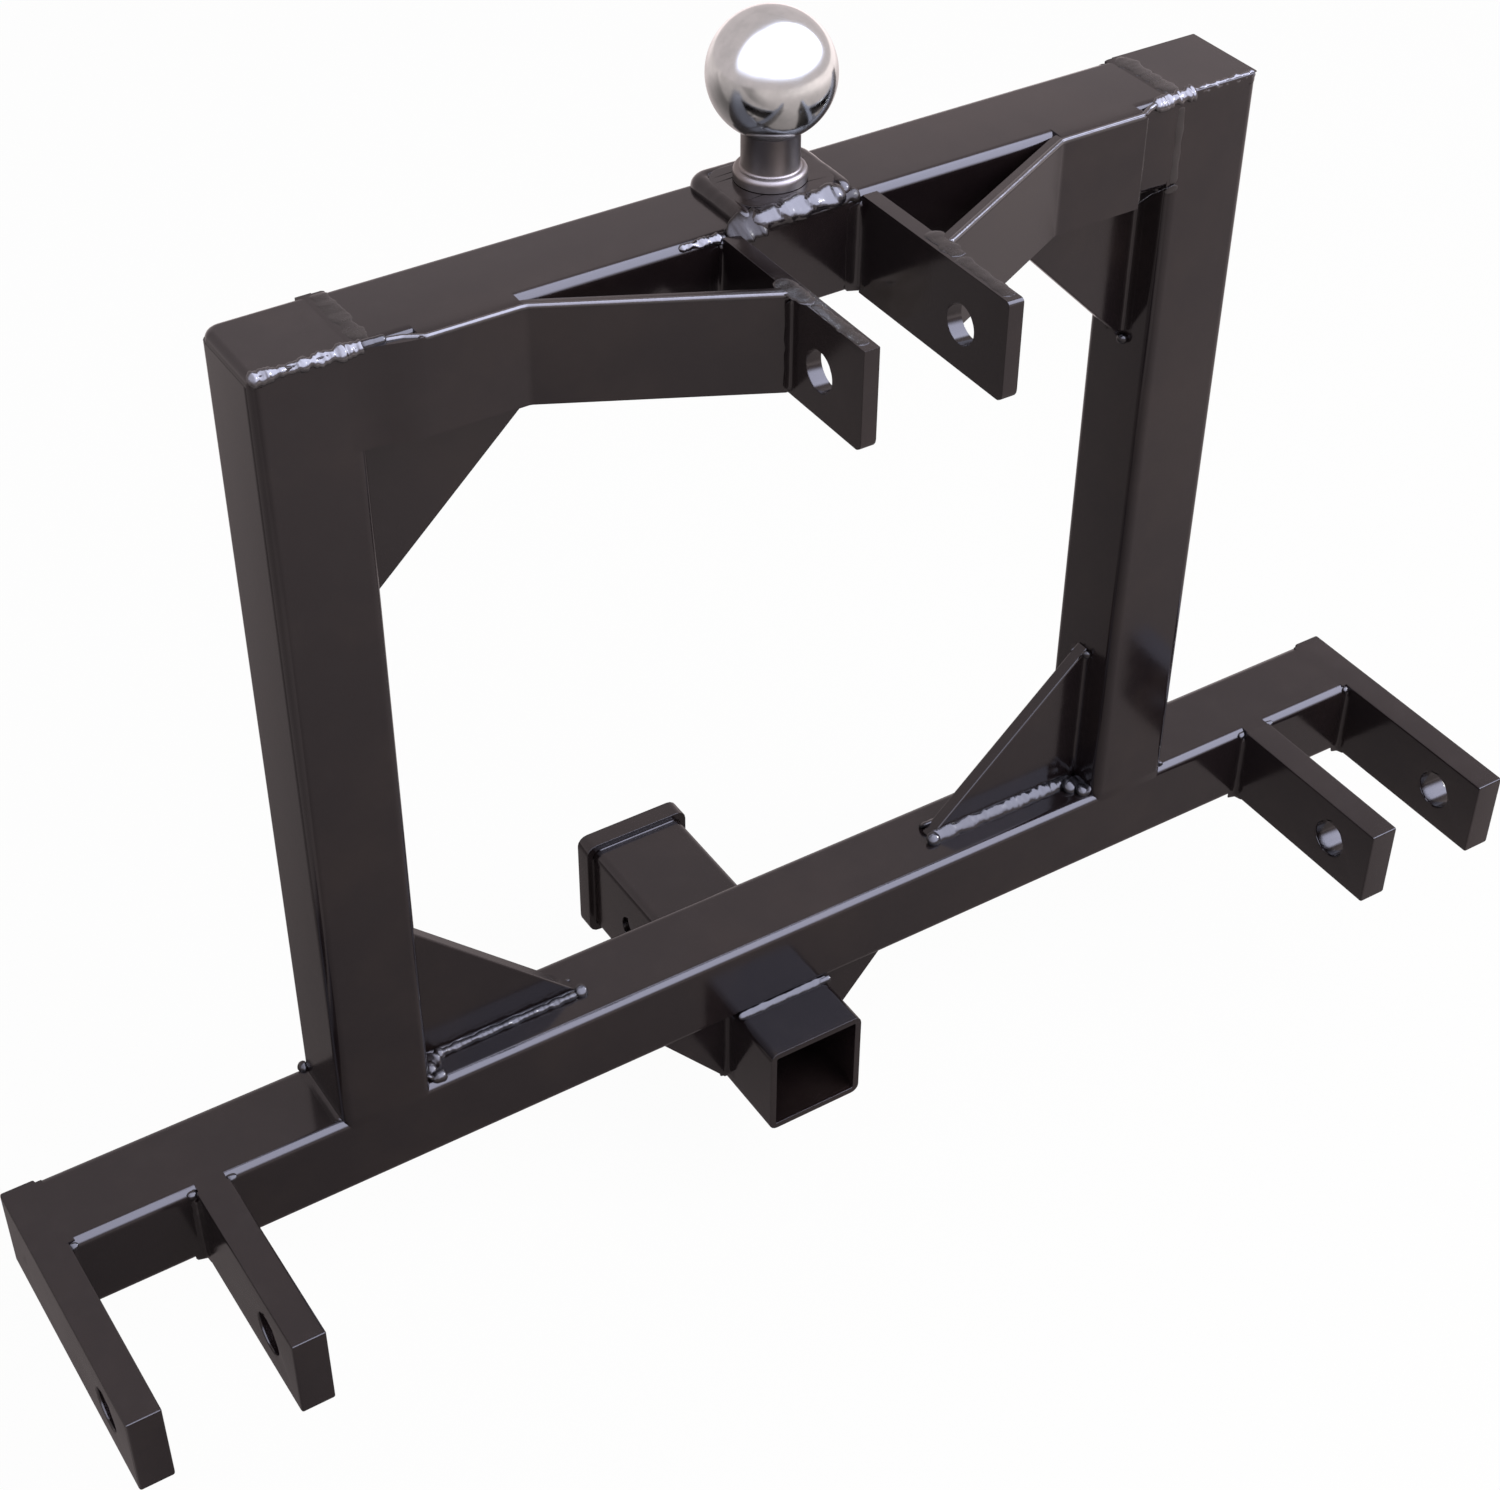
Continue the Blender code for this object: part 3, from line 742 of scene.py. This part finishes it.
def alongDepth(x, near, far, z, out, leg, kind):
    return ([(x, near, z), (x, far, z)], out, leg, kind)


# faces that the welds lie on
frontFace, rearFace = span("lower_beam", 1)
beamTop = span("lower_beam", 2)[1]
postInner, postOuter = span("post_right", 0)
topUnder, topFace = span("top_beam", 2)
lugInner, lugOuter = span("top_link_lug_right", 0)
armInner, armOuter = span("clevis_arm_inner_right", 0)
endArm = span("clevis_arm_outer_right", 0)[0]
tubeSide = span("receiver_tube", 0)[1]
tubeUnder, tubeTop = span("receiver_tube", 2)
collarFront = span("receiver_collar", 1)[0]

frameBeads = []
for side in (-1, 1):
    # post feet on the lower beam and the corner under the top beam
    frameBeads.append(alongDepth(side * postOuter, 84, 128, beamTop + 0.2, (side, 0, 1), 4.5, "soft"))
    for height, up, start in ((beamTop + 0.2, 1, 83), (topUnder, -1, 85)):
        for near, far in ((start, 100), (110, 127)):
            frameBeads.append(alongDepth(side * postInner, near, far, height, (-side, 0, up), 6, "smooth"))
    # arms on the beam's face and end
    frameBeads += [
        upright(side * endArm, frontFace, -26.5, 21, (-side, -1, 0), 6),
        upright(side * armInner, frontFace, -26.5, 20, (-side, -1, 0), 6.5),
        upright(side * armOuter, frontFace, -26.5, 20, (side, -1, 0), 6.5),
        upright(side * (endArm + 0.2), rearFace - 0.2, -22, 22, (0, 1, 0), 4, "smear"),
        dab(side * (armInner - 1.2), 80.6, 22.6, (-side * 0.6, -0.7, 1), 4.6, length=6),
        dab(side * (armOuter + 1.2), 80.6, 22.6, (side * 0.6, -0.7, 1), 4.6, length=6),
        dab(side * (endArm - 1.4), 80.8, 22.8, (-side * 0.6, -0.7, 1), 4.2, length=5),
    ]

# gussets, by level and side
gussetWelds = {
    (-1, -1): {"reach": 98, "rise": 95.0, "leg": 3.0, "kind": "fillet"},
    (-1, 1): {"reach": 103, "rise": 96.0, "leg": 7.0, "kind": "smooth"},
    (1, -1): {"reach": 103, "rise": 96.5, "leg": 6.0, "kind": "fillet"},
    (1, 1): {"reach": 94, "rise": 94.5, "leg": 6.0, "kind": "fillet"},
}
for (level, side), weld in gussetWelds.items():
    base = beamTop + 0.2 if level < 0 else topUnder - 0.2
    outer, inner = side * (postInner - 3), side * (postInner - weld["reach"])
    for y, outY in zip(span("gusset_lower_left", 1), (-1, 1)):
        frameBeads += [
            ([(outer, y, base), (inner, y, base)], (0, outY, -level), weld["leg"], weld["kind"]),
            upright(side * (postInner - 0.2), y, base - level * 4, base - level * (weld["rise"] - 2),
                    (-side, outY, 0), 6.0),
        ]
frameBeads += [
    # starts, stops and puddles
    dab(-117.5, 98.8, 26.8, (0, -0.8, 1), 7.5),
    dab(-208.5, 95.0, 26.6, (0, -0.8, 1), 9, (0.6, 0, 0.4), 10),
    dab(-212.0, 90.0, 26.8, (0, -0.7, 1), 8, length=7),
    dab(-210.0, 84.5, 25.8, (0, -0.8, 1), 8, length=9),
    dab(-203.0, 98.0, 26.6, (0, -0.8, 1), 6.5),
    ([(-203, 98.2, 26.4), (-160, 98.5, 26.2), (-120, 98.4, 26.3)], (0, -0.7, 1), 4.2, "rope"),
    dab(113.5, 98.4, 27.2, (0, -0.8, 1), 8.5),
    dab(209.5, 94.0, 27.0, (0, -0.8, 1), 11, length=12),
    dab(212.5, 87.5, 26.6, (0, -0.8, 1), 9, length=8),
    dab(-267.5, 127.5, 26.6, (-1, 0.6, 1), 6, (0, 1, 0)),
    dab(267.5, 84.5, 25.4, (1, -0.4, 1), 4.5, (0, 1, 0)),
    dab(214.0, 99.0, 119.0, (-1, -1, 0), 5, (0, 0, 1)),
    dab(-214.0, 99.0, 117.0, (1, -1, 0), 4.5, (0, 0, 1)),
    dab(214.0, 99.0, 325.5, (-1, -1, 0), 5.5, (0, 0, 1)),
    dab(-214.0, 99.0, 324.0, (1, -1, 0), 4.5, (0, 0, 1)),
]
layAll("frame", frameBeads)

topBeads = [
    # bead between the left cap and the left brace's edge
    ([(-216, 81.5, 467.8), (-203, 81.3, 467.7)], (0, -1, 1), 5.2, "rod"),
    # seams of the caps against the top beam
    alongDepth(-213, 82, 128, topFace - 0.1, (0, 0, 1), 8.0, "smear"),
    alongDepth(216.5, 82, 128, topFace - 0.1, (0, 0, 1), 10.0, "smear"),
    dab(-211.0, 126.4, 466.6, (0, 0.7, 1), 6, length=15),
    dab(211.0, 126.4, 466.6, (0, 0.7, 1), 6, length=15),
    # end of the right brace's flat
    upright(192, 79.9, 420, 466, (1, -1, 0), 5.2),
    upright(193.4, 75.6, 419.5, 465.5, (0.5, -1, 0), 3.8, "smear"),
    # puddle where the beam's bright edge stops at the left lug
    ([(-43, 81.5, 466.6), (-33, 81.5, 466.4)], (0, -0.6, 1), 9.0, "puddle"),
    # smears round the right brace's end, and under both braces
    ([(192, 76.0, 419.6), (204, 79.6, 420.2), (216, 80.0, 420.6)], (0, -0.6, -1), 2.4, "smear"),
    upright(218.6, 80.15, 421, 463, (0, -1, 0), 5.0, "smear"),
    ([(214, 80.3, 418.6), (222, 79.9, 418.6)], (0, -1, -0.3), 5.5, "smear"),
    ([(-190, 79, 418.4), (-144, 79, 418.4)], (0, -0.2, -1), 4, "smear"),
    ([(190, 79, 418.4), (144, 79, 418.4)], (0, -0.2, -1), 4, "smear"),
]
for side in (-1, 1):
    # lugs on the beam's face, braces on the lugs, and seams on the lugs' tops
    topBeads += [
        upright(side * lugInner, frontFace - 0.2, 419, 465, (-side, -1, 0), 8),
        upright(side * lugOuter, frontFace - 0.2, 419, 465, (side, -1, 0), 7),
        upright(side * lugOuter, 23.0, 420, 466, (side, -1, 0), 3.6),
        upright(side * lugOuter, 31.5, 420, 466, (side, 0.3, 0), 4),
        ([(side * 37.4, -27, 467.9), (side * 38.0, 12, 467.9)], (0, 0, 1), 6.5, "smear"),
        ([(side * 38.5, 12, 468.0), (side * 40.0, 37, 468.1)], (0, 0, 1), 9.0, "smear"),
    ]
layAll("top", topBeads)

# rough strips along the fronts of the caps, and one beside the left lug
layBeads("capWelds", [
    ([(-265.5, 81.9, 467.3), (-240, 81.7, 467.4), (-212, 81.5, 467.6)], (0, -1, 1), 6.0, "strip"),
    ([(264.5, 81.7, 468.0), (244, 81.6, 468.0), (220, 81.5, 467.9)], (0, -1, 1), 3.6, "strip"),
    ([(228, 81.5, 467.7), (214, 81.2, 467.5), (200.5, 80.5, 467.0)], (0, -1, 1), 6.4, "strip"),
    ([(-62, 81.6, 467.6), (-40, 81.4, 467.3)], (0, -0.8, 1), 4.0, "strip"),
], {"Grain depth": 0.0007, "Lump size": 0.0035, "Finish": edgePaint})

# upper front edges of the braces
layBeads("braceEdges", [
    ([(41.5, 24.7, 467.3), (141, 74.5, 467.3), (144, 74.9, 467.3), (190, 74.9, 467.3), (197, 79.0, 467.4),
      (203, 80.8, 467.7)], [(0.4, -0.8, 1)] * 2 + [(0, -1, 1)] * 4, 3.2, "edge"),
    ([(-41.5, 24.7, 467.3), (-141, 74.5, 467.3), (-144, 74.9, 467.3), (-188, 74.9, 467.3),
      (-197, 79.4, 467.4), (-206, 81.0, 467.7)], [(-0.4, -0.8, 1)] * 2 + [(0, -1, 1)] * 4, 3.0, "edge"),
], {"Step": 0.001, "Sides": 32, "Grain depth": 0.00002, "Finish": edgePaint})

# the pad: a heavy cast bead along its front, flows at that bead's ends, and a skirt round the rest
padSkirt = {"height": 469.45, "leg": 10.9, "round": 5.0}
padLow, padHigh = zip(span("ball_pad", 0), span("ball_pad", 1))
layBeads("padWelds", [
    ([(-25, 80.6, 470.2), (-16, 81.3, 470.8), (25, 82.0, 471.2)], (0, -0.62, 0.78), 12.0, "cast"),
], {"Sides": 24, "Grain depth": 0.0002, "Lump size": 0.009, "Finish": castPaint})
layBeads("padFlow", [
    ([(-38, 80.2, 467.6), (-28, 80.6, 469.2), (-17, 80.8, 470.0)], (-0.55, -0.55, 0.65), 15.0, "puddle"),
    ([(18, 81.8, 470.0), (33, 81.3, 467.8)], (-0.3, -0.7, 0.65), 8.0, "puddle"),
], {"Sides": 32, "Grain depth": 0.0003, "Lump size": 0.006, "Finish": flowPaint})
padPlan = roundedPlan(padLow, padHigh, [padSkirt["round"]] * 4, first=1)[1:-1]
layBeads("padMound", [
    ([(x, y, padSkirt["height"]) for x, y, across, back in padPlan],
     [(across, back, 1.0) for x, y, across, back in padPlan], padSkirt["leg"], "skirt"),
], {"Step": 0.001, "Sides": 48, "Grain depth": 0.00004, "Finish": glossBlack})

# the receiver: its top, its side plates and its collar
receiverBeads = [
    ([(-30, 80, -25), (29, 80, -25)], (0, -1, 1), 3.8, "smooth"),
    dab(27.0, 78.8, -24.2, (0, -1, 1), 4.6, length=9),
]
plateFaces = ((span("receiver_plate_front_right", 1)[0], -1), (span("receiver_plate_rear_right", 1)[1], 1))
for side in (-1, 1):
    wall, seam = side * (tubeSide + 0.2), tubeTop + 0.2
    receiverBeads += [upright(wall, y, -79, -27, (side, outY, 0), 6.0) for y, outY in plateFaces]
    receiverBeads += [([(side * 34, y, seam), (side * 76, y, seam)], (0, outY, -1), 5.0, "soft")
                      for y, outY in plateFaces]
    receiverBeads.append(upright(wall, collarFront - 0.1, -81, -30, (side, -1, 0), 2.4))
receiverBeads += [([(-26, collarFront - 0.1, z), (26, collarFront - 0.1, z)], (0, -1, up), 2.4, "soft")
                  for z, up in ((tubeTop + 0.1, 1), (tubeUnder - 0.1, -1))]
layAll("receiver", receiverBeads)
print("weld beads laid")


# Joints filled and ground flush, where a square edge meets a tube's rounded corner
fillForm = {"slice": 2.5, "waveScale": 260.0, "wave": 0.04 * mm, "seed": 3, "sharp": 50.0}


def groundFill(name, fills, form):
    work = bmesh.new()
    for axis, section, low, high in fills:
        slices = max(2, int(abs(high - low) / form["slice"]))
        rings = []
        for step in range(slices + 1):
            reach = low + (high - low) * step / slices
            spots = [{"x": (reach, a, b), "y": (a, reach, b), "z": (a, b, reach)}[axis] for a, b in section]
            rings.append([work.verts.new(Vector(spot) * mm) for spot in spots])
        joinRings(work, rings)
    noise.seed_set(form["seed"])  # without it each run would wave differently
    for vert in work.verts:
        vert.co += noise.noise_vector(vert.co * form["waveScale"]) * form["wave"]
    keepPiece(madePiece(name, work, glossBlack, form["sharp"]), "gloss_black_paint")


def flipped(plan, side=1, back=False, under=False):
    if under:
        return [(a, -b) for a, b in plan]
    return [(side * a, frontFace + rearFace - b if back else b) for a, b in plan]


# outlines of the fills, in the plane that each fill runs across
footPlan = [(265.8, 86.0), (265.8, 84.5), (265.0, 82.2), (263.5, 80.6), (262.0, 80.06), (220.0, 80.06),
            (218.5, 80.6), (217.0, 82.2), (216.2, 84.5), (216.2, 86.0)]
cornerPlan = [(214.5, 80.06), (222.0, 80.06), (222.0, 86.0), (214.5, 86.0)]
braceEnd = [(188.0, 73.85), (191.0, 73.9), (195.0, 74.4), (200.0, 75.5), (206.0, 77.2), (212.0, 78.8),
            (218.0, 79.75), (224.0, 80.04), (224.0, 81.0), (188.0, 81.0)]
edgePlan = [(80.04, 464.0), (80.04, 466.6), (80.5, 468.0), (81.6, 468.85), (85.4, 468.97), (85.4, 462.0)]
rootPlan = [(77.8, 18.0), (77.8, 24.94), (85.4, 24.97), (85.4, 18.0)]
bracePlan = [(74.0, 464.0), (74.0, 467.2), (74.4, 468.1), (75.3, 468.5), (80.0, 468.9), (85.4, 468.97),
             (85.4, 462.0), (79.0, 462.0)]
ledgePlan = [(79.96, 463.2), (79.96, 464.6), (81.0, 464.6), (81.0, 463.2)]
armEnd = [(410.0, 25.04), (416.5, 25.04), (416.5, 24.0), (410.0, 24.0)]
capSeam = [(209.0, 468.6), (210.5, 469.06), (219.0, 469.10), (222.0, 468.6), (222.0, 467.0), (209.0, 467.0)]

fills = []
for side in (-1, 1):
    fills += [
        ("z", flipped(footPlan, side), 19.4, 25.7),
        ("z", flipped(footPlan, side, back=True), 19.4, 25.7),
        ("z", flipped(cornerPlan, side), 418.5, 468.6),
        ("z", flipped(cornerPlan, side, back=True), 418.5, 468.6),
        ("x", rootPlan, side * 331.2, side * 346.8),
        ("x", flipped(rootPlan, under=True), side * 331.2, side * 346.8),
        ("x", bracePlan, side * 142.6, side * 191.0),
        ("x", edgePlan, side * 190.0, side * 222.0),
        ("x", ledgePlan, side * 206.0, side * 260.0),
        ("y", flipped(flipped(armEnd, under=True), side), 82.5, 127.5),
        ("y", flipped(armEnd, side), 82.5, 127.5),
        ("y", flipped(capSeam, side), 81.0, 128.6),
    ]
fills.append(("z", flipped(braceEnd, -1), 419.4, 467.8))
groundFill("groundJoints", fills, fillForm)
print("flush joints filled")


# Floor: plain to the camera; to gloss it glows with painted light and a painted shadow, darkest along a line
# under the hitch
# tint and levels of the floor's painted light and painted shadow, seen only in gloss
floorLook = {
    "reach": 9.0, "height": -0.16, "matte": (0.80, 0.79, 0.78, 1.0), "seen": 0.96,
    "tint": (1.12, 0.97, 0.97, 1.0), "level": 0.20, "across": 0.22, "paintedShadowLine": 0.18, "ahead": 0.44,
    "behind": 0.29, "least": 0.17, "most": 0.64, "paintedLeftLight": 0.28, "slant": (1.2, 0.57),
    "fillEdge": (0.06, -0.06), "fillAhead": (-0.70, -0.45), "fillLeft": (-0.38, -0.50),
    "far": (1.0, 3.2, 0.0, 0.75), "farLeft": (-2.0, 2.0, 0.25, 1.0),
}
white = (1.0, 1.0, 1.0, 1.0)


def paleFloor(look):
    made = bpy.data.materials.new("paleFloor")
    made.use_nodes = True
    tree = made.node_tree
    tree.nodes.remove(tree.nodes["Principled BSDF"])
    place = objectPlace(tree)
    x, y = split(tree, place)[:2]
    # painted shadow: the glow seen by gloss is least along a line under the hitch and rises ahead of and
    # behind it
    ahead = product(tree, calc(tree, "SUBTRACT", look["paintedShadowLine"], y), look["ahead"])
    behind = product(tree, calc(tree, "SUBTRACT", y, look["paintedShadowLine"]), look["behind"])
    level = calc(tree, "ADD", calc(tree, "MAXIMUM", ahead, behind),
                 calc(tree, "MULTIPLY_ADD", x, look["across"], look["level"]))
    slant = calc(tree, "ADD", calc(tree, "MULTIPLY_ADD", x, *look["slant"]), y)
    # painted light: a brighter patch of glow to the left of the hitch
    paintedLeftLight = product(tree, remap(tree, slant, *look["fillEdge"]), remap(tree, y, *look["fillAhead"]),
                       remap(tree, x, *look["fillLeft"]), look["paintedLeftLight"])
    level = calc(tree, "ADD", calc(tree, "MAXIMUM", level, look["least"]), paintedLeftLight)
    level = calc(tree, "MINIMUM", level, look["most"])
    # painted light: the glow grows brighter far from the hitch, most towards the right
    away = product(tree, remap(tree, vectorCalc(tree, "LENGTH", place), *look["far"]),
                   remap(tree, x, *look["farLeft"]))
    rays = addNode(tree, "ShaderNodeLightPath").outputs
    matte = addNode(tree, "ShaderNodeBsdfDiffuse", {"Color": look["matte"]})
    # the painted light and painted shadow shine as emission, for gloss rays only
    glow = addNode(tree, "ShaderNodeEmission", {"Color": look["tint"]})
    tree.links.new(calc(tree, "ADD", level, away), glow.inputs["Strength"])
    plain = addNode(tree, "ShaderNodeEmission", {"Color": white, "Strength": 1.0})
    plainSeen = calc(tree, "MAXIMUM", product(tree, rays["Is Camera Ray"], look["seen"]),
                     product(tree, rays["Is Transmission Ray"], look["seen"]))
    forGloss = blendShaders(tree, rays["Is Glossy Ray"], matte.outputs[0], glow.outputs[0])
    tree.links.new(blendShaders(tree, plainSeen, forGloss, plain.outputs[0]),
                   tree.nodes["Material Output"].inputs["Surface"])
    return made


floorMesh = bpy.data.meshes.new("studioFloor")
floorMesh.from_pydata([(x * floorLook["reach"], y * floorLook["reach"], floorLook["height"])
                       for x, y in ((-1, -1), (1, -1), (1, 1), (-1, 1))], [], [(0, 1, 2, 3)])
studioFloor = newPiece("studioFloor", floorMesh, paleFloor(floorLook))

# World: white to the camera, and to gloss a grey wall with a bright panel in front and above
studioSky = {
    "level": 0.6, "wall": (1.10, 0.95, 0.97, 1.0), "wallGloss": 0.76,
    "panel": (0.85, 0.89, 1.18, 1.0), "panelGloss": 7.3, "edge": (0.1215, -0.890, 0.433),
    "leftReach": 0.4, "front": (0.12, 0.36), "above": (0.12, 0.50), "across": (-0.75, 0.5, 0.35, 1.0),
}


def buildSky(tree, look):
    def glow(color, strength):
        node = addNode(tree, "ShaderNodeBackground", {"Color": color})
        feed(tree, node.inputs["Strength"], strength)
        return node.outputs[0]

    tree.nodes.clear()
    rays = addNode(tree, "ShaderNodeLightPath").outputs
    way = addNode(tree, "ShaderNodeTexCoord").outputs["Generated"]
    x, y, z = split(tree, way)
    leftward = product(tree, calc(tree, "MAXIMUM", product(tree, x, -1.0), 0.0), look["leftReach"])
    facing = calc(tree, "ADD", vectorCalc(tree, "DOT_PRODUCT", way, look["edge"]), leftward)
    panel = product(tree, remap(tree, facing, *look["front"]), remap(tree, z, *look["above"]),
                    remap(tree, x, *look["across"]), look["panelGloss"])
    glossy = addNode(tree, "ShaderNodeAddShader")
    tree.links.new(glow(look["wall"], look["wallGloss"]), glossy.inputs[0])
    tree.links.new(glow(look["panel"], panel), glossy.inputs[1])
    forGloss = blendShaders(tree, rays["Is Glossy Ray"], glow(white, look["level"]), glossy.outputs[0])
    plainSeen = calc(tree, "MAXIMUM", rays["Is Camera Ray"], rays["Is Transmission Ray"])
    output = addNode(tree, "ShaderNodeOutputWorld")
    tree.links.new(blendShaders(tree, plainSeen, forGloss, glow(white, 1.0)), output.inputs["Surface"])


studioWorld = bpy.data.worlds.new("studioWorld")
scene.world = studioWorld
studioWorld.use_nodes = True
buildSky(studioWorld.node_tree, studioSky)


def addLamp(name, look):
    data = bpy.data.lights.new(name, look["kind"])
    data.energy = look["energy"]
    data.color = look["color"]
    lamp = bpy.data.objects.new(name, data)
    scene.collection.objects.link(lamp)
    lamp.location = look["place"]
    aim = Vector(look["target"]) - Vector(look["place"])
    lamp.rotation_euler = aim.to_track_quat("-Z", "Y").to_euler()
    if look["kind"] == "AREA":
        data.shape = "RECTANGLE"
        data.size, data.size_y = look["size"]
    else:
        data.angle = math.radians(look["angle"])
    lamp.visible_camera = False
    lamp.visible_glossy = look["glossy"]
    lamp.visible_diffuse = look["diffuse"]


lamps = {
    "softKey": {"kind": "AREA", "energy": 38.0, "color": (1.0, 0.99, 0.97), "size": (1.8, 1.4),
                "place": (0.9, -1.3, 1.9), "target": (0.0, 0.1, 0.2), "glossy": False, "diffuse": True},
    "glint": {"kind": "SUN", "energy": 0.9, "color": (1.0, 1.0, 1.0), "angle": 5.0,
              "place": (1.6, -0.6, 1.1), "target": (0.0, 0.1, 0.1), "glossy": True, "diffuse": False},
}
for lampName, look in lamps.items():
    addLamp(lampName, look)
print("studio lit")
